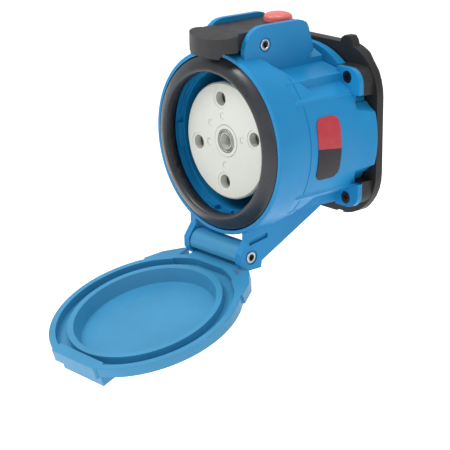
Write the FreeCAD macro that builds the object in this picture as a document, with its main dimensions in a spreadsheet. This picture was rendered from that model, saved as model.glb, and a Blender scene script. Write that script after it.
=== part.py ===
import FreeCAD, Part
import math
import os
import Sketcher

# Wall-mounted industrial power receptacle with a hinged round lid.
# Origin: centre of the wall face on the socket axis. Front faces -Y, up is +Z.
# "Depth" values are distances in front of the wall, so Y = -depth.

SIZES = {
    "front": 82.0, "lip_radius": 52.3, "lip_bore": 50.0, "bore_radius": 43.5, "seat_depth": 76.0,
    "chamber_radius": 40.4, "chamber_front": 71.4, "bulkhead_bore": 34.6, "bulkhead_rear": 38.0,
    "barrel_radius": 51.5, "flange_radius": 48.8, "flange_rear": 10.0,
    "lug_x": 41.0, "lug_z": 35.0, "lug_rear": 17.8, "lug_front": 21.2, "lug_hole": 2.75, "lug_seat": 3.6,
    "cheek_inner": 14.8, "cheek_outer": 18.0, "latch_y": 61.7, "latch_z": 55.6,
    "ear_inner": 20.0, "ear_outer": 24.5, "hinge_y": 78.5, "hinge_z": 62.0,
    "pin_radius": 2.5, "running_gap": 0.05,
    "disc_radius": 33.4, "disc_front": 75.35, "disc_thick": 5.0, "pitch_radius": 24.0,
    "hole_radius": 4.05, "boss_radius": 9.1, "contact_turn": 30.0,
    "plate_front": 9.0, "plate_rear": 2.0, "post_front": 17.7,
    "opening_radius": 34.0, "wall_hole_circle": 44.0, "wall_hole": 2.6,
    "rim_bore": 51.3, "rim_radius": 55.2, "rim_top": 82.5, "rim_bottom": 88.2,
    "ring_bore": 41.0, "ring_radius": 44.5, "dish_floor": 90.6, "dish_outer": 93.6,
    "tab_half": 19.4, "tab_height": 53.0, "lever_half": 14.3,
    "button_y": 35.5, "button_radius": 8.2, "seal_radius": 49.7, "seal_bore": 40.3, "seal_crest": 86.0,
    "screw_circle": 37.6,
}
# Angles of the shutter's holes, seen from the front, anticlockwise from +X.
HOLE_ANGLES = (12.4, 100.7, 192.1, 267.2)


class Size:
    """A number together with the spreadsheet expression it comes from."""

    def __init__(self, value, text):
        self.value = value
        self.text = text

    def __add__(self, other):
        return Size(self.value + number(other), "(%s + %s)" % (self.text, words(other)))

    def __sub__(self, other):
        return Size(self.value - number(other), "(%s - %s)" % (self.text, words(other)))

    def __mul__(self, other):
        return Size(self.value * number(other), "(%s * %s)" % (self.text, words(other)))

    def __neg__(self):
        return Size(-self.value, "(0 - %s)" % self.text)


def number(item):
    """The plain value of a Size or a number."""
    return item.value if isinstance(item, Size) else float(item)


def words(item):
    """The expression text of a Size or a number."""
    return item.text if isinstance(item, Size) else "(%g)" % item


def cell(alias):
    """A driving dimension from the spreadsheet."""
    return Size(SIZES[alias], "Sizes." + alias)


doc = FreeCAD.newDocument("Receptacle")
sheet = doc.addObject("Spreadsheet::Sheet", "Sizes")
for row, (alias, value) in enumerate(SIZES.items(), start=1):
    sheet.set("A%d" % row, alias)
    sheet.set("B%d" % row, "%g" % value)
    sheet.setAlias("B%d" % row, alias)
doc.recompute()

nodes = {}


def bind(item, name, value):
    """Set a property to a number, or bind it to the spreadsheet."""
    if isinstance(value, Size):
        item.setExpression(name, value.text)
    else:
        item.setExpression(name, "%g" % value)


def new_body(label):
    """Start one sub-part."""
    body = doc.addObject("PartDesign::Body", label)
    body.Label = label
    nodes[label] = body
    return body


def origin_plane(body, role):
    for feature in body.Origin.OriginFeatures:
        if feature.Role == role:
            return feature
    raise ValueError(role)


def fix_point(sketch, index, end, x, y):
    """Hold one sketch point at (x, y)."""
    for kind, value, axis in (("DistanceX", x, -2), ("DistanceY", y, -1)):
        if not isinstance(value, Size) and abs(value) < 1e-9:
            sketch.addConstraint(Sketcher.Constraint("PointOnObject", index, end, axis))
            continue
        place = sketch.addConstraint(
            Sketcher.Constraint(kind, -1, 1, index, end, number(value)))
        if isinstance(value, Size):
            sketch.setExpression("Constraints[%d]" % place, value.text)


def draw_polygon(sketch, points):
    first = sketch.GeometryCount
    count = len(points)
    for i in range(count):
        a = points[i]
        b = points[(i + 1) % count]
        sketch.addGeometry(Part.LineSegment(
            FreeCAD.Vector(number(a[0]), number(a[1]), 0),
            FreeCAD.Vector(number(b[0]), number(b[1]), 0)), False)
    for i in range(count):
        sketch.addConstraint(Sketcher.Constraint(
            "Coincident", first + i, 2, first + (i + 1) % count, 1))
    for i in range(count):
        fix_point(sketch, first + i, 1, points[i][0], points[i][1])


def draw_circle(sketch, x, y, radius):
    index = sketch.addGeometry(Part.Circle(
        FreeCAD.Vector(number(x), number(y), 0), FreeCAD.Vector(0, 0, 1), number(radius)), False)
    fix_point(sketch, index, 3, x, y)
    place = sketch.addConstraint(Sketcher.Constraint("Radius", index, number(radius)))
    if isinstance(radius, Size):
        sketch.setExpression("Constraints[%d]" % place, radius.text)


def new_sketch(body, name, role, offset=0, polygons=(), circles=()):
    """A sketch on one of the body's own planes, moved along the plane's normal."""
    sketch = body.newObject("Sketcher::SketchObject", name)
    sketch.AttachmentSupport = [(origin_plane(body, role), "")]
    sketch.MapMode = "FlatFace"
    bind(sketch, "AttachmentOffset.Base.z", offset)
    for points in polygons:
        draw_polygon(sketch, points)
    for x, y, radius in circles:
        draw_circle(sketch, x, y, radius)
    return sketch


def front_sketch(body, name, depth, polygons=(), circles=()):
    """Seen from the front: x to the right, y up, lying at a depth in front of the wall."""
    return new_sketch(body, name, "XZ_Plane", depth, polygons, circles)


def side_sketch(body, name, x, polygons=(), circles=()):
    """Seen along X: first value Y (minus the depth), second value Z."""
    return new_sketch(body, name, "YZ_Plane", x, polygons, circles)


def pad(body, name, sketch, length):
    feature = body.newObject("PartDesign::Pad", name)
    feature.Profile = sketch
    bind(feature, "Length", length)
    doc.recompute()
    return feature


def pocket(body, name, sketch, length):
    before = body.Shape.Volume
    feature = body.newObject("PartDesign::Pocket", name)
    feature.Profile = sketch
    bind(feature, "Length", length)
    doc.recompute()
    if feature.Shape.Volume > before - 0.01:
        raise ValueError("nothing cut by " + name)
    return feature


def span(low, high):
    """The distance from low to high, either of which may be a Size."""
    return Size(number(high), words(high)) - low


def front_pad(body, name, low, high, polygons=(), circles=()):
    """Material between two depths."""
    sketch = front_sketch(body, name + "_sketch", low, polygons, circles)
    return pad(body, name, sketch, span(low, high))


def front_pocket(body, name, high, low, polygons=(), circles=()):
    """Material removed from depth high back to depth low."""
    sketch = front_sketch(body, name + "_sketch", high, polygons, circles)
    return pocket(body, name, sketch, span(low, high))


def side_pad(body, name, low, high, polygons=(), circles=()):
    """Material between two values of X."""
    sketch = side_sketch(body, name + "_sketch", low, polygons, circles)
    return pad(body, name, sketch, span(low, high))


def side_pocket(body, name, high, low, polygons=(), circles=()):
    """Material removed from X = high down to X = low."""
    sketch = side_sketch(body, name + "_sketch", high, polygons, circles)
    return pocket(body, name, sketch, span(low, high))


def revolve(body, name, points, kind="PartDesign::Revolution"):
    """Turn a profile of (radius, depth) points about the socket axis."""
    sketch = new_sketch(body, name + "_sketch", "XY_Plane", 0,
                        [[(r, -d if isinstance(d, Size) else -float(d)) for r, d in points]])
    before = body.Shape.Volume if body.Tip else 0
    feature = body.newObject(kind, name)
    feature.Profile = sketch
    feature.ReferenceAxis = (sketch, ["V_Axis"])
    feature.Angle = 360
    doc.recompute()
    if kind.endswith("Groove") and feature.Shape.Volume > before - 0.01:
        raise ValueError("nothing cut by " + name)
    return feature


def round_edges(body, name, radius, wanted, kind="PartDesign::Fillet"):
    """Round (or chamfer) every edge of the body for which wanted(edge) is true."""
    tip = body.Tip
    names = ["Edge%d" % (i + 1) for i, edge in enumerate(tip.Shape.Edges) if wanted(edge)]
    if not names:
        raise ValueError("no edges for " + name)
    feature = body.newObject(kind, name)
    feature.Base = (tip, names)
    if kind.endswith("Fillet"):
        feature.Radius = radius
    else:
        feature.Size = radius
    doc.recompute()
    return feature


def along(edge, axis):
    """True for a straight edge parallel to the axis."""
    if not isinstance(edge.Curve, Part.Line):
        return False
    return abs(abs(edge.tangentAt(edge.FirstParameter).dot(axis)) - 1) < 1e-6


def ring_edge(edge, radius, y):
    """True for a circular edge about the socket axis with this radius and Y."""
    curve = edge.Curve
    return (isinstance(curve, Part.Circle) and abs(curve.Radius - radius) < 0.01
            and abs(edge.BoundBox.YMin - y) < 0.01 and abs(edge.BoundBox.YMax - y) < 0.01)


def box_points(x0, z0, x1, z1):
    return [(x0, z0), (x1, z0), (x1, z1), (x0, z1)]


def place_round(item, radius, angle):
    """Put a sub-part on a circle about the socket axis."""
    item.setExpression("Placement.Base.x", "%s * cos(%s * 1 deg)" % (words(radius), words(angle)))
    item.setExpression("Placement.Base.z", "%s * sin(%s * 1 deg)" % (words(radius), words(angle)))


X_AXIS = FreeCAD.Vector(1, 0, 0)
Y_AXIS = FreeCAD.Vector(0, 1, 0)


def mirrored(points):
    """The same outline upside down."""
    return [(x, -z) for x, z in points]


def make_casing():
    body = new_body("receptacle_casing")
    flare(body)
    barrel(body)
    ledges(body)
    lugs(body)
    cheeks(body)
    ears(body)
    hollow(body)
    ribs(body)
    return body


def flare(body):
    """The rear bulge on each side, which widens towards the wall."""
    rear = cell("flange_rear")
    revolve(body, "flare", [
        (38.0, rear), (54.8, rear), (54.8, 12.4), (53.4, 15.0), (52.3, 18.5), (51.7, 23.0),
        (cell("barrel_radius"), 28.0), (38.0, 28.0)])
    trim = [(-62.0, 13.0), (-52.9, 15.2), (-49.0, 17.3), (-45.4, 20.5), (45.4, 20.5), (49.0, 17.3),
            (52.9, 15.2), (62.0, 13.0), (62.0, 62.0), (-62.0, 62.0)]
    front_pocket(body, "flare_top", 29.0, rear - 1.0, [trim])
    front_pocket(body, "flare_low", 29.0, rear - 1.0, [mirrored(trim)])


def barrel(body):
    """The round barrel with the collar at its mouth."""
    front = cell("front")
    lip = cell("lip_radius")
    side = cell("barrel_radius")
    inner = cell("bulkhead_bore")
    revolve(body, "barrel", [
        (inner, cell("flange_rear")), (cell("flange_radius"), cell("flange_rear")),
        (cell("flange_radius"), cell("lug_rear")), (side, 20.4), (side, 63.2), (lip, 64.4), (lip, front - 0.6),
        (lip - 0.5, front), (inner, front)])
    revolve(body, "panel_line", [(side - 0.3, 58.2), (side + 2.0, 58.2), (side + 2.0, 58.8), (side - 0.3, 58.8)],
            "PartDesign::Groove")


def ledges(body):
    """Stepped ledges above and below the barrel, run out into the collar by a ramp."""
    cut = [(-14.2, 54.0), (-14.2, 47.6), (-19.0, 26.0), (-44.0, 26.0), (-57.1, 40.1), (-64.3, 46.8),
           (-71.0, 53.0), (-71.0, 54.0)]
    side_pocket(body, "ledge_top", 60.0, -60.0, [cut])
    side_pocket(body, "ledge_low", 60.0, -60.0, [mirrored(cut)])
    quarter = [(44.8, 0.0), (44.8, 27.3), (36.4, 32.2), (36.4, 36.8), (18.0, 40.0), (18.0, 43.4), (11.0, 46.4)]
    outline = quarter + [(-x, z) for x, z in reversed(quarter)]
    outline += [(x, -z) for x, z in [(-p, q) for p, q in quarter][1:]]
    outline += [(x, -z) for x, z in list(reversed(quarter))[:-1]]
    front_pad(body, "shoulders", cell("lug_rear"), 70.0, [outline])
    trim = cell("lip_radius")
    revolve(body, "trim", [(trim, 24.0), (62.0, 24.0), (62.0, 74.0), (trim, 74.0)], "PartDesign::Groove")


def lugs(body):
    """Four thin rounded lugs for the flange screws."""
    x = cell("lug_x")
    z = cell("lug_z")
    for side in (-1, 1):
        for up in (-1, 1):
            corner = arc_points(42.4, 31.9, 8.4, 90.0, 0.0, 7)
            shape = [(33.0, 24.0), (33.0, 40.3)] + corner + [(50.8, 25.8), (45.3, 25.8)]
            front_pad(body, "lug_%d_%d" % (side + 1, up + 1), cell("lug_rear"), cell("lug_front"),
                      [[(side * a, up * b) for a, b in shape]])
    spots = [(x * i, z * j) for i in (-1, 1) for j in (-1, 1)]
    front_pocket(body, "lug_holes", cell("lug_front") + 2.0, cell("flange_rear") - 2.0,
                 circles=[(i, j, cell("lug_hole")) for i, j in spots])
    front_pocket(body, "lug_seats", cell("lug_front") + 2.0, cell("lug_front") - 2.2,
                 circles=[(i, j, cell("lug_seat")) for i, j in spots])


def arc_points(cx, cz, radius, first, last, count):
    """Points on an arc, angles in degrees anticlockwise from +X."""
    points = []
    for i in range(count):
        a = math.radians(first + (last - first) * i / (count - 1.0))
        points.append((cx + radius * math.cos(a), cz + radius * math.sin(a)))
    return points


def hollow(body):
    """The chambers before and behind the bulkhead, and the seat of the seal."""
    rear = cell("flange_rear")
    chamber = cell("chamber_radius")
    bulkhead = cell("bulkhead_rear")
    revolve(body, "bore_cut", [
        (0.0, rear - 5.0), (chamber, rear - 5.0), (chamber, bulkhead), (cell("bulkhead_bore"), bulkhead),
        (cell("bulkhead_bore"), 46.0), (chamber, 46.0), (chamber, cell("chamber_front")),
        (cell("bore_radius"), cell("chamber_front")), (cell("bore_radius"), cell("seat_depth") + 3.0),
        (0.0, cell("seat_depth") + 3.0)], "PartDesign::Groove")
    front_pocket(body, "mouth", cell("front") + 1.0, cell("seat_depth"),
                 circles=[(0.0, 0.0, cell("lip_bore"))])
    front_pocket(body, "screw_pilots", 47.0, 38.0, circles=[
        (cell("screw_circle") * math.cos(a), cell("screw_circle") * math.sin(a), 1.55)
        for a in pilot_angles()])


def pilot_angles():
    return [math.radians(a) for a in (45, 135, 225, 315)]


def cheeks(body):
    """Two cheeks that carry the latch rivet."""
    inner = cell("cheek_inner")
    outer = cell("cheek_outer")
    outline = [(-77.2, 44.0), (-77.1, 49.6), (-76.9, 55.1), (-76.0, 57.9), (-74.5, 60.4), (-72.2, 63.0),
               (-69.4, 64.9), (-66.0, 66.0), (-62.0, 66.3), (-36.0, 66.0), (-33.1, 65.4), (-30.7, 63.9),
               (-28.8, 61.4), (-25.0, 48.4), (-25.4, 46.9), (-31.2, 42.8), (-31.2, 40.0), (-60.0, 40.0)]
    side_pad(body, "cheek_right", inner, outer, [outline])
    side_pad(body, "cheek_left", -outer, -inner, [outline])
    y = -cell("latch_y")
    z = cell("latch_z")
    hole = cell("pin_radius") + cell("running_gap")
    side_pocket(body, "latch_hole", outer + 1.0, -outer - 1.0, circles=[(y, z, hole)])
    side_pocket(body, "latch_recess_right", outer + 1.0, outer - 0.7, circles=[(y, z, 4.2)])
    side_pocket(body, "latch_recess_left", -outer + 0.7, -outer - 1.0, circles=[(y, z, 4.2)])


def ears(body):
    """Two hinge ears with webs running back to the flange."""
    inner = cell("ear_inner")
    outer = cell("ear_outer")
    y = -cell("hinge_y")
    z = -cell("hinge_z")
    web = [(-81.4, -45.0), (-81.4, -52.0), (y - 8.0, z + 3.0), (y - 7.9, z - 3.2), (y - 4.0, z - 7.5),
           (y + 7.4, z - 7.6), (-70.4, -65.6), (-25.0, -43.0), (-25.0, -41.0), (-66.0, -41.0)]
    for name, low, high in (("ear_right", inner, outer), ("ear_left", -outer, -inner)):
        side_pad(body, name, low, high, [web])
    hole = cell("pin_radius") + cell("running_gap")
    side_pocket(body, "hinge_hole", outer + 1.0, -outer - 1.0, circles=[(y, z, hole)])
    side_pocket(body, "hinge_recess_right", outer + 1.0, outer - 0.7, circles=[(y, z, 4.4)])
    side_pocket(body, "hinge_recess_left", -outer + 0.7, -outer - 1.0, circles=[(y, z, 4.4)])
    for name, high, low in (("slot_right", outer + 1.0, outer - 1.6), ("slot_left", -outer + 1.6, -outer - 1.0)):
        side_pocket(body, name, high, low, [[(-80.0, -52.2), (-66.0, -50.0), (-66.0, -52.8), (-80.0, -55.0)]])


def ribs(body):
    """Short guide ribs inside the collar, in front of the chamber."""
    for high, arcs in ((73.2, ((100.0, 171.0), (36.0, 52.0), (262.0, 272.0))),
                       (75.2, ((176.0, 196.0), (246.0, 256.0), (338.0, 352.0)))):
        outlines = [arc_points(0.0, 0.0, 41.3, first, last, 9) + arc_points(0.0, 0.0, 44.3, last, first, 9)
                    for first, last in arcs]
        front_pad(body, "ribs_%d" % high, 70.8, high, outlines)


def rounded(cx, cz, half_x, half_z, radius, steps=6):
    """Corner points of a rounded rectangle seen from the front."""
    points = []
    for sx, sz, start in ((1, 1, 0), (-1, 1, 90), (-1, -1, 180), (1, -1, 270)):
        for i in range(steps + 1):
            a = math.radians(start + 90.0 * i / steps)
            points.append((cx + sx * (half_x - radius) + radius * math.cos(a),
                           cz + sz * (half_z - radius) + radius * math.sin(a)))
    return points


def wall_holes():
    r = cell("wall_hole_circle")
    return [(r, 0.0), (-r, 0.0), (0.0, r), (0.0, -r)]


def make_mounting_plate():
    """The backplate: a rounded square with a post under each lug and a tooth on its top edge."""
    body = new_body("mounting_plate")
    rear = cell("plate_rear")
    face = cell("plate_front")
    front_pad(body, "plate", rear, face, [rounded(0, 0.6, 53.0, 50.2, 28.0, 9)])
    for side in (-1, 1):
        for up in (-1, 1):
            corner = arc_points(42.0, 31.4, 8.2, 90.0, 0.0, 6)
            inner = arc_points(0.0, 0.0, 49.2, 30.5, 53.6, 7)
            post = [(33.4, 39.6)] + corner + [(50.2, 25.0)] + inner
            front_pad(body, "post_%d_%d" % (side + 1, up + 1), face - 1.0, cell("post_front"),
                      [[(side * a, up * b) for a, b in post]])
    front_pad(body, "tooth", rear + 1.5, face, [[
        (21.8, 46.0), (23.0, 50.4), (24.2, 53.4), (26.6, 54.9), (30.6, 54.9), (32.6, 52.6), (34.0, 48.0),
        (34.0, 44.0)]])
    front_pocket(body, "opening", face + 1.0, rear - 1.0, circles=[(0.0, 0.0, cell("opening_radius"))])
    front_pocket(body, "wall_bores", face + 1.0, rear - 1.0,
                 circles=[(x, z, cell("wall_hole")) for x, z in wall_holes()])
    front_pocket(body, "head_seats", face + 1.0, face - 3.6, circles=[(x, z, 4.4) for x, z in wall_holes()])
    front_pocket(body, "screw_bores", cell("post_front") + 1.0, rear - 1.0, circles=[
        (cell("lug_x") * i, cell("lug_z") * j, 2.55) for i in (-1, 1) for j in (-1, 1)])
    front_pocket(body, "notch", face + 1.0, rear - 1.0,
                 [[(19.0, -60.0), (22.0, -48.6), (27.0, -48.6), (30.0, -60.0)]])
    round_edges(body, "back_edge", 2.0, lambda e: abs(e.BoundBox.YMax + 2) < 0.01
                and abs(e.BoundBox.YMin + 2) < 0.01 and abs(e.CenterOfMass.x) > 46, "PartDesign::Chamfer")


def make_gaskets():
    body = new_body("flange_gasket")
    revolve(body, "ring", [(41.2, 9.0), (39.2, 9.0), (39.2, cell("flange_rear")),
                           (41.2, cell("flange_rear"))])
    body = new_body("wall_gasket")
    front_pad(body, "sheet", 0.0, cell("plate_rear"), [rounded(0, 0, 48.5, 47.0, 22.0)],
              [(0.0, 0.0, cell("opening_radius"))] + [(x, z, cell("wall_hole")) for x, z in wall_holes()])


def make_seal():
    """The lip seal: its face slopes up to a crest at the inner edge."""
    body = new_body("face_seal")
    seat = cell("seat_depth")
    outer = cell("seal_radius")
    inner = cell("seal_bore")
    crest = cell("seal_crest")
    revolve(body, "ring", [
        (43.2, seat), (outer, seat), (outer, crest - 4.7), (outer - 0.4, crest - 4.0),
        (outer - 1.1, crest - 3.2), (outer - 2.2, crest - 2.3), (outer - 3.6, crest - 1.4),
        (outer - 5.2, crest - 0.7), (outer - 6.6, crest - 0.2), (inner + 1.7, crest),
        (inner + 0.9, crest - 0.2), (inner + 0.3, crest - 0.8), (inner, crest - 1.7),
        (inner, seat + 4.0), (43.2, seat + 2.4)])


def make_shutter():
    body = new_body("shutter_disc")
    face = cell("disc_front")
    back = face - cell("disc_thick")
    outer = cell("disc_radius")
    hub = cell("boss_radius") + 0.15
    revolve(body, "disc", [
        (hub, back - 2.6), (hub + 1.6, back - 2.6), (hub + 1.6, back), (outer, back), (outer, face - 0.9),
        (outer - 0.9, face), (hub + 0.3, face), (hub, face - 0.3)])
    pitch = cell("pitch_radius")
    spots = [(math.cos(math.radians(a)), math.sin(math.radians(a))) for a in HOLE_ANGLES]
    front_pocket(body, "holes", face + 1.0, back - 4.0,
                 circles=[(pitch * c, pitch * s, cell("hole_radius")) for c, s in spots])
    front_pocket(body, "hole_rims", face + 1.0, face - 0.35,
                 circles=[(pitch * c, pitch * s, 5.6) for c, s in spots])
    marks = [(a, 14.2) for a in HOLE_ANGLES] + [(147.0, 15.0)]
    arcs = []
    for angle, r in marks:
        x = r * math.cos(math.radians(angle))
        z = r * math.sin(math.radians(angle))
        outer_arc = [(x - 2.1 * math.cos(t), z + 2.1 * math.sin(t)) for t in arc_steps(-120, 120)]
        inner_arc = [(x - 1.5 * math.cos(t), z + 1.5 * math.sin(t)) for t in arc_steps(120, -120)]
        arcs.append(outer_arc + inner_arc)
    front_pocket(body, "arc_marks", face + 1.0, face - 0.45, arcs)


def arc_steps(first, last, count=13):
    return [math.radians(first + (last - first) * i / (count - 1.0)) for i in range(count)]


def contact_angles():
    return [a - SIZES["contact_turn"] for a in HOLE_ANGLES]


def contact_spots():
    """Unit directions of the contacts, seen from the front."""
    return [(math.cos(math.radians(a)), math.sin(math.radians(a))) for a in contact_angles()]


def make_carrier():
    """The insulating block, the terminal base behind it and the boss at its centre."""
    pitch = cell("pitch_radius")
    spots = contact_spots()
    boss = cell("boss_radius")
    body = new_body("contact_block")
    revolve(body, "body", [
        (boss, 46.2), (32.8, 46.2), (32.8, 69.7), (11.4, 69.7), (11.4, 66.9), (boss, 66.9)])
    front_pocket(body, "contact_bores", 71.0, 45.0,
                 circles=[(pitch * c, pitch * s, 4.35) for c, s in spots])
    front_pocket(body, "spring_groove", 71.0, 67.0, circles=[(0.0, 0.0, 15.8), (0.0, 0.0, 11.0)])
    body = new_body("terminal_base")
    revolve(body, "body", [
        (6.95, 16.0), (34.8, 16.0), (34.8, 33.0), (40.1, 33.0), (40.1, 37.9), (34.2, 37.9),
        (34.2, 46.1), (3.0, 46.1), (3.0, 40.0), (6.95, 40.0)])
    front_pocket(body, "spring_seats", 47.0, 43.0, circles=[(pitch * c, pitch * s, 4.35) for c, s in spots])
    front_pocket(body, "stem_bores", 47.0, 37.0, circles=[(pitch * c, pitch * s, 1.75) for c, s in spots])
    front_pocket(body, "terminal_wells", 40.0, 15.0, circles=[(pitch * c, pitch * s, 6.6) for c, s in spots])
    front_pocket(body, "screw_holes", 39.0, 32.0, circles=[
        (cell("screw_circle") * math.cos(a), cell("screw_circle") * math.sin(a), 1.8)
        for a in pilot_angles()])
    body = new_body("centre_boss")
    revolve(body, "tube", [
        (6.95, 61.0), (boss - 0.05, 61.0), (boss - 0.05, cell("disc_front")), (6.95, cell("disc_front"))])


def make_ground():
    body = new_body("ground_sleeve")
    revolve(body, "sleeve", [(5.2, 61.0), (6.9, 61.0), (6.9, cell("disc_front") - 0.2),
                             (5.2, cell("disc_front") - 0.2)])
    body = new_body("ground_guide")
    revolve(body, "bush", [(3.9, 62.0), (5.15, 62.0), (5.15, cell("disc_front") - 0.1),
                           (3.9, cell("disc_front") - 0.1)])
    body = new_body("ground_terminal")
    revolve(body, "post", [(0.0, 16.5), (6.4, 16.5), (6.4, 39.5), (2.9, 39.5), (2.9, 58.0),
                           (9.0, 58.0), (9.0, 60.9), (0.0, 60.9)])
    wire_bore(body, 5.2)


def wire_bore(body, clamp_radius):
    """A blind bore for the wire and a threaded hole across it for the clamp screw."""
    front_pocket(body, "wire_bore", 27.0, 10.0, circles=[(0.0, 0.0, 3.4)])
    sketch = new_sketch(body, "clamp_sketch", "XY_Plane", 9.0, circles=[(0.0, -21.0, 1.55)])
    pocket(body, "clamp_bore", sketch, 9.0)


def make_contacts():
    pitch = cell("pitch_radius")
    for index, angle in enumerate(HOLE_ANGLES, start=1):
        turned = -cell("contact_turn") + angle
        body = new_body("line_contact_%d" % index)
        revolve(body, "tip", [(0.0, 46.0), (1.6, 46.0), (1.6, 63.0), (4.2, 63.0), (4.2, 68.4), (3.4, 69.2),
                              (0.0, 69.2)])
        place_round(body, pitch, turned)
        body = new_body("line_terminal_%d" % index)
        revolve(body, "post", [(0.0, 16.5), (6.4, 16.5), (6.4, 39.5), (1.6, 39.5), (1.6, 43.4), (0.0, 43.4)])
        wire_bore(body, 5.2)
        place_round(body, pitch, turned)
        spring = coil("contact_spring_%d" % index, 2.9, 0.45, 43.6, 62.4, 5.2)
        place_round(spring, pitch, turned)


def coil(label, radius, wire, low, high, pitch):
    """A helical spring about the depth axis between two depths."""
    helix = doc.addObject("Part::Helix", label + "_path")
    helix.Pitch = pitch
    helix.Height = high - low - 2 * wire
    helix.Radius = radius
    helix.SegmentLength = 1.0
    section = doc.addObject("Part::Circle", label + "_wire")
    section.Radius = wire
    section.Placement = FreeCAD.Placement(FreeCAD.Vector(radius, 0, 0), FreeCAD.Rotation(X_AXIS, 90))
    sweep = doc.addObject("Part::Sweep", label)
    sweep.Sections = [section]
    sweep.Spine = (helix, [])
    sweep.Solid = True
    sweep.Frenet = True
    sweep.Label = label
    sweep.Placement = FreeCAD.Placement(FreeCAD.Vector(0, -low - wire, 0), FreeCAD.Rotation(X_AXIS, 90))
    nodes[label] = sweep
    doc.recompute()
    return sweep


def make_screws():
    """Screw groups: each is a compound of separate solids."""
    lugs = [(SIZES["lug_x"] * i, SIZES["lug_z"] * j) for i in (-1, 1) for j in (-1, 1)]
    screw_group("flange_screws", lugs, 3.3, 19.05, 20.9, 2.5, 3.0)
    circle = SIZES["screw_circle"]
    spots = [(circle * math.cos(a), circle * math.sin(a)) for a in pilot_angles()]
    screw_group("carrier_screws", spots, 2.4, 32.95, 31.0, 1.5, 45.5)
    clamp_screws()


def screw_group(label, spots, head_radius, seat, head_end, shank_radius, shank_end):
    """Screws parallel to the socket axis with a cross slot in each head."""
    parts = []
    direction = 1 if head_end > seat else -1
    for index, (x, z) in enumerate(spots):
        head = doc.addObject("Part::Cylinder", "%s_head_%d" % (label, index))
        head.Radius = head_radius
        head.Height = abs(head_end - seat)
        shank = doc.addObject("Part::Cylinder", "%s_shank_%d" % (label, index))
        shank.Radius = shank_radius
        shank.Height = abs(shank_end - seat)
        for item, low in ((head, min(seat, head_end)), (shank, min(seat, shank_end))):
            item.Placement = FreeCAD.Placement(FreeCAD.Vector(x, -low, z), FreeCAD.Rotation(X_AXIS, 90))
        joined = doc.addObject("Part::MultiFuse", "%s_joined_%d" % (label, index))
        joined.Shapes = [head, shank]
        slot_a = doc.addObject("Part::Box", "%s_slot_a_%d" % (label, index))
        slot_b = doc.addObject("Part::Box", "%s_slot_b_%d" % (label, index))
        long_side = head_radius * 1.3
        depth = 1.0
        y = -head_end if direction > 0 else -head_end - depth
        for slot, dx, dz in ((slot_a, long_side, 0.9), (slot_b, 0.9, long_side)):
            slot.Length = dx
            slot.Width = depth
            slot.Height = dz
            slot.Placement = FreeCAD.Placement(FreeCAD.Vector(x - dx / 2, y, z - dz / 2), FreeCAD.Rotation())
        cross = doc.addObject("Part::MultiFuse", "%s_cross_%d" % (label, index))
        cross.Shapes = [slot_a, slot_b]
        cut = doc.addObject("Part::Cut", "%s_%d" % (label, index))
        cut.Base = joined
        cut.Tool = cross
        parts.append(cut)
    group = doc.addObject("Part::Compound", label)
    group.Links = parts
    group.Label = label
    nodes[label] = group
    doc.recompute()


def clamp_screws():
    """Grub screws that clamp the wires in the terminal posts."""
    parts = []
    spots = [(SIZES["pitch_radius"] * math.cos(math.radians(a)),
              SIZES["pitch_radius"] * math.sin(math.radians(a))) for a in contact_angles()]
    for index, (x, z) in enumerate(spots + [(0.0, 0.0)]):
        screw = doc.addObject("Part::Cylinder", "clamp_screw_%d" % index)
        screw.Radius = 1.5
        screw.Height = 2.6
        screw.Placement = FreeCAD.Placement(FreeCAD.Vector(x, -21.0, z + 3.5), FreeCAD.Rotation())
        parts.append(screw)
    group = doc.addObject("Part::Compound", "terminal_screws")
    group.Links = parts
    group.Label = "terminal_screws"
    nodes["terminal_screws"] = group
    doc.recompute()


def make_lever():
    """The latch lever: a fan-shaped head in front, an arm between the cheeks and a seat for the button."""
    body = new_body("latch_lever")
    half = cell("lever_half")
    profile = [(-78.8, 54.0), (-62.0, 53.8), (-52.0, 54.4), (-30.0, 56.6), (-26.2, 58.4), (-25.8, 61.6),
               (-27.4, 63.4), (-79.2, 63.4)]
    side_pad(body, "arm", -half, half, [profile])
    y = -cell("latch_y")
    z = cell("latch_z")
    side_pad(body, "boss", -half, half, [], [(y, z, 4.0)])
    right = [(12.6, -78.0), (15.4, -79.0), (17.0, -80.6), (17.5, -82.6), (17.4, -85.2), (16.2, -87.4),
             (13.6, -89.4), (9.6, -91.2), (5.0, -92.4), (0.0, -92.8)]
    outline = right + [(-px, py) for px, py in reversed(right[:-1])]
    sketch = new_sketch(body, "head_sketch", "XY_Plane", 50.4, [outline])
    pad(body, "head", sketch, 13.0)
    side_pocket(body, "under_head", 20.0, -20.0, [[
        (-90.0, 40.0), (-90.0, 51.6), (-89.2, 52.4), (-89.2, 53.2), (-88.4, 53.9), (-70.0, 53.9), (-70.0, 40.0)]])
    side_pocket(body, "brow", 20.0, -20.0, [[
        (-96.0, 60.2), (-96.0, 66.0), (-76.0, 66.0), (-78.0, 63.3), (-84.0, 62.9)]])
    side_pocket(body, "chin", 20.0, -20.0, [[(-96.0, 53.4), (-96.0, 48.0), (-88.6, 48.0)]])
    side_pocket(body, "rivet_bore", 20.0, -20.0,
                circles=[(y, z, cell("pin_radius") + cell("running_gap"))])
    seat = new_sketch(body, "button_seat_sketch", "XY_Plane", 70.0,
                      circles=[(0.0, -cell("button_y"), cell("button_radius") + 0.1)])
    pocket(body, "button_seat", seat, 8.4)


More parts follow.
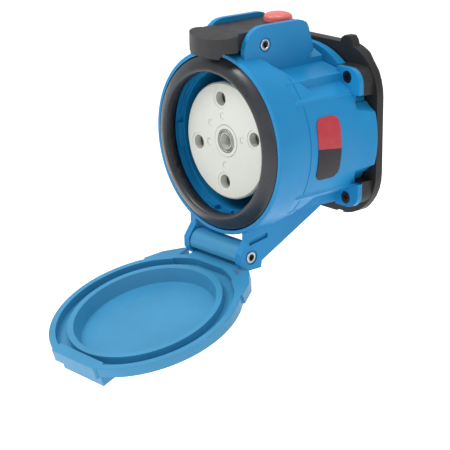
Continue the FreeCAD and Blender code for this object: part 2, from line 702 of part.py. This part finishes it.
def make_button():
    """A domed button pressed into the lever."""
    body = new_body("latch_button")
    sketch = new_sketch(body, "button_sketch", "XZ_Plane", 0, [[
        (0.0, 61.8), (cell("button_radius"), 61.8), (cell("button_radius"), 65.2), (7.8, 66.3),
        (6.9, 67.1), (5.2, 67.7), (2.8, 68.1), (0.0, 68.2)]])
    feature = body.newObject("PartDesign::Revolution", "dome")
    feature.Profile = sketch
    feature.ReferenceAxis = (sketch, ["V_Axis"])
    feature.Angle = 360
    body.setExpression("Placement.Base.y", "0 - Sizes.button_y")
    doc.recompute()


def make_rivet(label, half, y, z):
    """A hollow rivet along X with a rolled collar at each end."""
    body = new_body(label)
    pin = cell("pin_radius")
    sketch = new_sketch(body, "rivet_sketch", "XY_Plane", 0, [[
        (-half - 0.1, 1.7), (-half - 0.1, 2.9), (-half + 0.1, 3.2), (-half + 0.6, 3.2), (-half + 0.6, pin),
        (half - 0.6, pin), (half - 0.6, 3.2), (half - 0.1, 3.2), (half + 0.1, 2.9), (half + 0.1, 1.7)]])
    feature = body.newObject("PartDesign::Revolution", "tube")
    feature.Profile = sketch
    feature.ReferenceAxis = (sketch, ["H_Axis"])
    feature.Angle = 360
    bind(body, "Placement.Base.y", y)
    bind(body, "Placement.Base.z", z)
    doc.recompute()


def make_lid():
    """The lid, modelled closed and then turned to its open rest position."""
    body = new_body("lid")
    top = cell("rim_top")
    low = cell("rim_bottom")
    floor = cell("dish_floor")
    outer = cell("dish_outer")
    ring = cell("ring_radius")
    revolve(body, "dish", [
        (0.0, floor), (38.6, floor), (cell("ring_bore"), top + 0.1), (ring, top + 0.1), (ring + 0.3, top + 4.6),
        (cell("rim_bore"), top + 4.6), (cell("rim_bore"), top), (cell("rim_radius") - 0.4, top),
        (cell("rim_radius"), top + 0.4), (cell("rim_radius"), low), (52.4, low + 0.6), (49.6, low + 1.6),
        (46.0, outer - 1.4), (42.5, outer), (0.0, outer)])
    half = cell("tab_half")
    high = cell("tab_height")
    front_pad(body, "tab", top, low + 1.0, [[(-half, 46.0), (-half, high - 1.0), (-half + 1.0, high),
                                             (half - 1.0, high), (half, high - 1.0), (half, 46.0)]])
    front_pad(body, "tab_foot", low + 0.9, 96.4, [[(-17.0, 40.0), (-17.6, 49.6), (17.6, 49.6), (17.0, 40.0)]])
    front_pocket(body, "tab_flat", low + 4.0, top - 1.0, [box_points(-17.0, high, 17.0, 60.0)])
    for side in (-1, 1):
        front_pad(body, "shoulder_%d" % (side + 1), top, low, [[
            (side * 25.3, -44.0), (side * 25.3, -56.0), (side * 28.0, -55.6), (side * 37.5, -46.8),
            (side * 43.0, -36.5), (side * 40.0, -34.0)]])
    y = -cell("hinge_y")
    z = -cell("hinge_z")
    side_pad(body, "neck", -19.5, 19.5, [[(-88.2, -50.0), (-88.2, -58.0), (-85.0, -66.0), (-79.0, -68.0),
                                          (-78.5, -60.0), (-82.5, -54.8), (-82.5, -50.0)]])
    side_pad(body, "knuckle", -19.5, 19.5, [], [(y, z, 7.6)])
    side_pocket(body, "collar_relief", 20.0, -20.0, [[(-82.45, -60.0), (-82.45, -40.0), (-60.0, -40.0),
                                                      (-60.0, -54.2), (-78.5, -54.2)]])
    side_pocket(body, "spring_room", -15.4, -20.5, circles=[(y, z, 5.4)])
    side_pocket(body, "hinge_bore", 22.0, -22.0, circles=[(y, z, cell("pin_radius") + cell("running_gap"))])
    return body


def turned_about_hinge(body):
    """Swing the closed lid down to the open rest position."""
    centre = FreeCAD.Vector(0, -SIZES["hinge_y"], -SIZES["hinge_z"])
    body.Placement = FreeCAD.Placement(FreeCAD.Vector(), FreeCAD.Rotation(X_AXIS, 108), centre)
    doc.recompute()


def make_label():
    """A thin curved label on the right side of the barrel."""
    body = new_body("rating_label")
    r = cell("barrel_radius")
    revolve(body, "shell", [(r + 0.02, 35.5), (r + 0.42, 35.5), (r + 0.42, 53.0), (r + 0.02, 53.0)])
    side_pocket(body, "left_half", 30.0, -60.0, [[(-70.0, -60.0), (-20.0, -60.0), (-20.0, 60.0), (-70.0, 60.0)]])
    for name, sign in (("top_end", 1), ("low_end", -1)):
        side_pocket(body, name, 60.0, 0.0, [[
            (-60.0, sign * 60.0), (-60.0, sign * 13.6), (-53.0, sign * 13.6), (-52.4, sign * 15.4),
            (-50.6, sign * 17.2),
            (-48.8, sign * 17.8), (-39.7, sign * 17.8), (-37.9, sign * 17.2), (-36.1, sign * 15.4),
            (-35.5, sign * 13.6), (-30.0, sign * 13.6), (-30.0, sign * 60.0)]])


def make_springs():
    coil("shutter_spring", 13.4, 0.7, 67.1, 70.2, 1.5)
    spring = coil("latch_spring", 3.6, 0.5, 0.0, 8.8, 2.4)
    spring.Placement = FreeCAD.Placement(FreeCAD.Vector(0, -41.0, 47.0), FreeCAD.Rotation())
    spring = coil("lid_spring", 3.9, 0.55, 0.0, 4.0, 1.25)
    spring.Placement = FreeCAD.Placement(
        FreeCAD.Vector(-19.3, -SIZES["hinge_y"], -SIZES["hinge_z"]), FreeCAD.Rotation(Y_AXIS, 90))
    doc.recompute()


def write_parts():
    os.makedirs("parts", exist_ok=True)
    for label, item in nodes.items():
        shape = item.Shape
        state = item.State
        if "Invalid" in state or "Error" in state:
            raise ValueError("%s is in state %s" % (label, state))
        if shape.isNull() or not shape.isValid():
            raise ValueError("bad shape in " + label)
        print(label, "solids", len(shape.Solids), "volume", round(shape.Volume, 1))
        shape.exportStep("parts/%s.step" % label)


make_casing()
make_mounting_plate()
make_gaskets()
make_seal()
make_shutter()
make_carrier()
make_ground()
make_contacts()
make_screws()
make_lever()
make_button()
make_rivet("latch_rivet", cell("cheek_outer"), -cell("latch_y"), cell("latch_z"))
make_rivet("lid_hinge_rivet", cell("ear_outer"), -cell("hinge_y"), -cell("hinge_z"))
lid = make_lid()
turned_about_hinge(lid)
make_label()
make_springs()
doc.recompute()
write_parts()
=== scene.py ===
import math

import bpy
from mathutils import Matrix, Vector


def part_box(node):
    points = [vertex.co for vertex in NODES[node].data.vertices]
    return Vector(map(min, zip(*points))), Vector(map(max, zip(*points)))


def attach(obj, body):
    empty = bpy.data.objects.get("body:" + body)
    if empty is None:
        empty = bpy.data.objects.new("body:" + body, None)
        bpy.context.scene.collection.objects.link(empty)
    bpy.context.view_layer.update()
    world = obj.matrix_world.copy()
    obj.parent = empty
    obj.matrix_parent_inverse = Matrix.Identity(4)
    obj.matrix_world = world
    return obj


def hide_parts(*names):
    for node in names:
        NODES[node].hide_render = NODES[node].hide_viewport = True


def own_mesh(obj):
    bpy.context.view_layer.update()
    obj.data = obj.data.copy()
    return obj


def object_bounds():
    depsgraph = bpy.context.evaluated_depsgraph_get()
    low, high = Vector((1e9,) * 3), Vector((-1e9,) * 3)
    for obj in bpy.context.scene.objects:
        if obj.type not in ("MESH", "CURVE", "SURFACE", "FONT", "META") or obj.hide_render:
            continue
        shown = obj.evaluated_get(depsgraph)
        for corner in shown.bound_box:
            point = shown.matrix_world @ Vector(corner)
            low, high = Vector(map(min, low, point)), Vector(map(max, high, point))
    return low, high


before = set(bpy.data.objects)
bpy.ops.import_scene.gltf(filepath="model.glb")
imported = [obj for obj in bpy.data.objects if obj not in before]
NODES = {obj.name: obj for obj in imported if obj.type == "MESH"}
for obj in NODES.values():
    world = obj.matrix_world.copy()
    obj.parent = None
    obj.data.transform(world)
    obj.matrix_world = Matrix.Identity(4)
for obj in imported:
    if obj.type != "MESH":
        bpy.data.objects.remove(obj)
cad_low, cad_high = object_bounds()
MM = 0.001

# Stage.
FLOOR_GAP = 0.16
FLOOR_HALF = 30.0
FLOOR_GLOW = 0.4
WORLD_STRENGTH = 0.66

# Linear colours of the real finishes; the lid's colour is the casing blue washed lighter and greyer, a
# painted sheen.
BLUE = (0.010, 0.215, 0.47)
# painted sheen: the lid is the casing's plastic, lightened and greyed towards white for the sheen it catches
LID_SHEEN_BLUE = (0.036, 0.235, 0.43)
DARK_GREY = (0.024, 0.024, 0.026)
PLATE_BLACK = (0.018, 0.018, 0.019)
RUBBER = (0.016, 0.018, 0.022)
INSULATOR = (0.62, 0.63, 0.57)
CARRIER = (0.15, 0.15, 0.12)
CORAL = (0.66, 0.145, 0.140)
STEEL = (0.56, 0.56, 0.55)
BRASS = (0.62, 0.44, 0.16)
SILVER = (0.74, 0.73, 0.68)


# ---------------------------------------------------------------- materials

class Nodes:
    """Short calls for wiring one material."""

    def __init__(self, name, colour, roughness, **sockets):
        self.material = bpy.data.materials.new(name)
        self.material.use_nodes = True
        self.tree = self.material.node_tree
        self.shader = self.tree.nodes["Principled BSDF"]
        self.shader.inputs["Base Color"].default_value = (*colour, 1)
        self.shader.inputs["Roughness"].default_value = roughness
        for socket, value in sockets.items():
            self.shader.inputs[socket.replace("_", " ")].default_value = value
        self.where = self.add("ShaderNodeTexCoord").outputs["Object"]

    def add(self, kind, **inputs):
        node = self.tree.nodes.new(kind)
        for socket, value in inputs.items():
            self.put(value, node.inputs[socket.replace("_", " ")])
        return node

    def put(self, value, socket):
        if isinstance(value, bpy.types.NodeSocket):
            self.tree.links.new(value, socket)
        else:
            socket.default_value = value

    def noise(self, scale, detail=3.0, stretch=(1, 1, 1)):
        """Noise whose scale is in spots per metre."""
        mapping = self.add("ShaderNodeMapping", Vector=self.where, Scale=stretch)
        node = self.add("ShaderNodeTexNoise", Vector=mapping.outputs["Vector"], Scale=scale, Detail=detail)
        return node.outputs["Fac"]

    def ramp(self, value, low, high, first, last):
        """Maps low..high of a value to first..last."""
        node = self.add("ShaderNodeMapRange", Value=value)
        node.inputs["From Min"].default_value = low
        node.inputs["From Max"].default_value = high
        node.inputs["To Min"].default_value = first
        node.inputs["To Max"].default_value = last
        return node.outputs["Result"]

    def mix(self, factor, first, last):
        """Mixes two colours."""
        node = self.add("ShaderNodeMix")
        node.data_type = "RGBA"
        self.put(factor, node.inputs["Factor"])
        for value, socket in ((first, node.inputs[6]), (last, node.inputs[7])):
            self.put(value if isinstance(value, bpy.types.NodeSocket) else (*value, 1), socket)
        return node.outputs[2]

    def math(self, operation, first, second):
        node = self.tree.nodes.new("ShaderNodeMath")
        node.operation = operation
        self.put(first, node.inputs[0])
        self.put(second, node.inputs[1])
        return node.outputs[0]

    def bump(self, height, distance, strength=1.0, normal=None):
        node = self.add("ShaderNodeBump", Height=height)
        node.inputs["Distance"].default_value = distance
        node.inputs["Strength"].default_value = strength
        if normal is not None:
            self.put(normal, node.inputs["Normal"])
        return node.outputs["Normal"]

    def use(self, socket, value):
        self.put(value, self.shader.inputs[socket])


def shade(colour, factor):
    return tuple(min(1.0, c * factor) for c in colour)


def moulded(name, colour, roughness, grain=0.00005, spread=0.07, **sockets):
    """Moulded plastic: cloudy colour, fine spark-eroded grain, faint flow marks and handling wear."""
    n = Nodes(name, colour, roughness, **sockets)
    cloud = n.noise(38.0, 4.0)
    patches = n.ramp(cloud, 0.3, 0.7, 0, 1)
    n.use("Base Color", n.mix(patches, shade(colour, 1 - spread), shade(colour, 1 + spread)))
    wear = n.noise(150.0, 5.0, (1, 1, 0.4))
    n.use("Roughness", n.ramp(wear, 0.25, 0.75, roughness - 0.07, roughness + 0.08))
    fine = n.bump(n.noise(2600.0, 2.0), grain, 0.5)
    n.use("Normal", n.bump(cloud, 0.0006, 0.25, fine))
    return n.material


def metal(name, colour, roughness, stretch=(1, 1, 1), scale=900.0):
    """Turned or drawn metal with fine machining lines."""
    n = Nodes(name, colour, roughness, Metallic=1.0)
    lines = n.noise(scale, 3.0, stretch)
    n.use("Base Color", n.mix(n.ramp(lines, 0.3, 0.7, 0, 1), shade(colour, 0.85), shade(colour, 1.1)))
    n.use("Roughness", n.ramp(lines, 0.2, 0.8, roughness - 0.08, roughness + 0.12))
    n.use("Normal", n.bump(lines, 0.00004, 0.5))
    return n.material


def rubber(name, colour, roughness):
    """Moulded rubber: slightly dusty, satin, with faint rings from the mould."""
    n = Nodes(name, colour, roughness)
    dust = n.noise(90.0, 6.0)
    n.use("Base Color", n.mix(n.ramp(dust, 0.4, 0.8, 0, 1), colour, shade(colour, 1.7)))
    n.use("Roughness", n.ramp(dust, 0.3, 0.8, roughness - 0.06, roughness + 0.14))
    n.use("Normal", n.bump(n.noise(1900.0, 3.0), 0.00006, 0.5))
    return n.material


def label_material():
    """A generic two-colour label: red above a slightly slanting line, black below."""
    n = Nodes("label_print", (0.5, 0.03, 0.035), 0.32, Specular_IOR_Level=0.25)
    low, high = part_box("rating_label")
    slope = 0.12
    split = n.add("ShaderNodeSeparateXYZ", Vector=n.where)
    across = n.math("MULTIPLY", split.outputs["Y"], slope)
    line = n.math("ADD", split.outputs["Z"], across)
    middle = (low.z + high.z) / 2 + slope * (low.y + high.y) / 2
    black = n.ramp(line, middle - 0.0001, middle + 0.0001, 1, 0)
    speckle = n.noise(260.0, 4.0)
    red = n.mix(speckle, (0.38, 0.028, 0.042), (0.50, 0.050, 0.066))
    dark = n.mix(speckle, (0.014, 0.011, 0.014), (0.028, 0.023, 0.028))
    n.use("Base Color", n.mix(black, red, dark))
    n.use("Roughness", n.ramp(speckle, 0.2, 0.8, 0.26, 0.42))
    n.use("Normal", n.bump(n.noise(700.0, 2.0), 0.00004, 0.4))
    return n.material


def make_materials():
    return {
        "casing": moulded("casing_blue", BLUE, 0.40, Specular_IOR_Level=0.25),
        # the lid's base colour carries a painted sheen; its roughness and specular level are its own
        "lid": moulded("lid_blue_painted_sheen", LID_SHEEN_BLUE, 0.36, grain=0.00004, Specular_IOR_Level=0.4),
        "plate": moulded("plate_black", PLATE_BLACK, 0.50, grain=0.00010, spread=0.2, Specular_IOR_Level=0.3),
        "lever": moulded("lever_grey", DARK_GREY, 0.50, grain=0.00012, spread=0.2, Specular_IOR_Level=0.35),
        "button": moulded("button_coral", CORAL, 0.30, grain=0.00002, spread=0.04),
        "disc": moulded("disc_insulator", INSULATOR, 0.45, grain=0.00003, spread=0.03),
        "carrier": moulded("carrier_insulator", CARRIER, 0.55, grain=0.00006, spread=0.12),
        "seal": rubber("seal_rubber", RUBBER, 0.30),
        "gasket": rubber("gasket_rubber", (0.02, 0.02, 0.021), 0.7),
        "steel": metal("zinc_steel", STEEL, 0.32),
        # painted shade: this steel is darkened so the recessed flange screws read as shadowed holes
        "recess_shade_steel": metal("flange_screw_painted_shade", (0.05, 0.05, 0.052), 0.45),
        "brass": metal("terminal_brass", BRASS, 0.35),
        "silver": metal("silver_contact", SILVER, 0.28),
        "nickel": metal("nickel_sleeve", (0.62, 0.61, 0.56), 0.36),
        "label": label_material(),
    }


# ---------------------------------------------------------------- CAD nodes

def finish_node(name, material, radius=0.0, angle=35.0):
    """Give a CAD node its material and shading, with its sharp edges slightly rounded."""
    obj = NODES[name]
    obj.data.materials.clear()
    obj.data.materials.append(material)
    for polygon in obj.data.polygons:
        polygon.use_smooth = True
    weld = obj.modifiers.new("weld", "WELD")
    weld.merge_threshold = 0.000004
    if radius:
        bevel = obj.modifiers.new("edges", "BEVEL")
        bevel.width = radius
        bevel.segments = 2
        bevel.limit_method = "ANGLE"
        bevel.angle_limit = math.radians(angle)
        bevel.use_clamp_overlap = True
    normals = obj.modifiers.new("normals", "WEIGHTED_NORMAL")
    normals.keep_sharp = True
    normals.weight = 80
    return obj


def finish_nodes(m):
    finish_node("receptacle_casing", m["casing"], 0.35 * MM)
    finish_node("lid", m["lid"], 0.4 * MM)
    finish_node("mounting_plate", m["plate"], 0.4 * MM)
    finish_node("latch_lever", m["lever"], 0.4 * MM)
    finish_node("latch_button", m["button"], 0.15 * MM)
    finish_node("shutter_disc", m["disc"], 0.12 * MM)
    finish_node("contact_block", m["carrier"], 0.15 * MM)
    finish_node("terminal_base", m["carrier"], 0.15 * MM)
    finish_node("centre_boss", m["disc"], 0.15 * MM)
    finish_node("ground_guide", m["disc"])
    finish_node("ground_sleeve", m["nickel"])
    finish_node("ground_terminal", m["brass"])
    finish_node("face_seal", m["seal"])
    finish_node("flange_gasket", m["gasket"])
    finish_node("wall_gasket", m["gasket"])
    finish_node("rating_label", m["label"])
    # painted shade: the flange screws take the darkened steel so their recesses look shadowed
    finish_node("flange_screws", m["recess_shade_steel"], 0.1 * MM)
    for name in ("carrier_screws", "terminal_screws", "latch_rivet", "lid_hinge_rivet",
                 "shutter_spring", "lid_spring"):
        finish_node(name, m["steel"])
    for index in range(1, 5):
        finish_node("line_contact_%d" % index, m["silver"])
        finish_node("line_terminal_%d" % index, m["brass"])


# ---------------------------------------------------------------- springs

def pressed_spring(name, material):
    """A copy of a spring's mesh in steel, fixed to the housing body in place of the CAD node."""
    obj = bpy.data.objects.new(name + "_coil", NODES[name].data.copy())
    bpy.context.scene.collection.objects.link(obj)
    obj.data.materials.clear()
    obj.data.materials.append(material)
    for polygon in obj.data.polygons:
        polygon.use_smooth = True
    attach(obj, "housing")
    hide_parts(name)
    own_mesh(obj)


def make_springs(m):
    pressed_spring("latch_spring", m["steel"])
    for index in range(1, 5):
        pressed_spring("contact_spring_%d" % index, m["steel"])


# ---------------------------------------------------------------- stage

def make_floor():
    """A plain pale floor well below the object."""
    mesh = bpy.data.meshes.new("floor")
    half = FLOOR_HALF
    corners = [(-half, -half, 0), (half, -half, 0), (half, half, 0), (-half, half, 0)]
    mesh.from_pydata(corners, [], [(0, 1, 2, 3)])
    floor = bpy.data.objects.new("floor", mesh)
    floor.location.z = cad_low.z - FLOOR_GAP
    bpy.context.scene.collection.objects.link(floor)
    n = Nodes("floor_white", (0.95, 0.95, 0.95), 0.9)
    n.use("Emission Color", (1.0, 1.0, 1.0, 1.0))
    n.use("Emission Strength", FLOOR_GLOW)
    mesh.materials.append(n.material)


def area_light(name, place, target, size, power, colour=(1, 1, 1)):
    light = bpy.data.lights.new(name, "AREA")
    light.shape = "DISK"
    light.size = size
    light.energy = power
    light.color = colour
    obj = bpy.data.objects.new(name, light)
    obj.location = place
    obj.rotation_mode = "QUATERNION"
    obj.rotation_quaternion = (Vector(place) - Vector(target)).to_track_quat("Z", "Y")
    bpy.context.scene.collection.objects.link(obj)


def make_lights():
    world = bpy.data.worlds.new("studio")
    bpy.context.scene.world = world
    world.use_nodes = True
    background = world.node_tree.nodes["Background"]
    background.inputs["Color"].default_value = (1, 1, 1, 1)
    background.inputs["Strength"].default_value = WORLD_STRENGTH
    middle = (cad_low + cad_high) / 2
    area_light("key", (-0.55, -0.95, 1.15), middle, 0.6, 11.0)
    area_light("fill", (1.3, -0.7, 0.5), middle, 0.9, 2.0)
    area_light("top", (0.1, -0.1, 1.5), middle, 0.8, 10.0)
    bpy.context.scene.view_settings.view_transform = "Standard"


def make_camera():
    azimuth = math.radians(48.89)
    elevation = math.radians(17.76)
    roll = math.radians(-0.5)
    distance = 0.98518
    back = Vector((math.sin(azimuth) * math.cos(elevation), -math.cos(azimuth) * math.cos(elevation),
                   math.sin(elevation)))
    level = Vector((math.cos(azimuth), math.sin(azimuth), 0))
    rise = back.cross(level)
    right = level * math.cos(roll) + rise * math.sin(roll)
    up = rise * math.cos(roll) - level * math.sin(roll)
    collar_centre = Vector((0, -0.082, 0))
    camera = bpy.data.cameras.new("camera")
    camera.sensor_width = 36.0
    camera.lens = 141.24
    camera.clip_start = 0.01
    camera.clip_end = 100.0
    obj = bpy.data.objects.new("camera", camera)
    obj.location = collar_centre + back * distance + right * 0.00456 - up * 0.04566
    obj.rotation_mode = "QUATERNION"
    obj.rotation_quaternion = Matrix((right, up, back)).transposed().to_quaternion()
    bpy.context.scene.collection.objects.link(obj)
    bpy.context.scene.camera = obj


materials = make_materials()
finish_nodes(materials)
make_springs(materials)
make_floor()
make_lights()
make_camera()
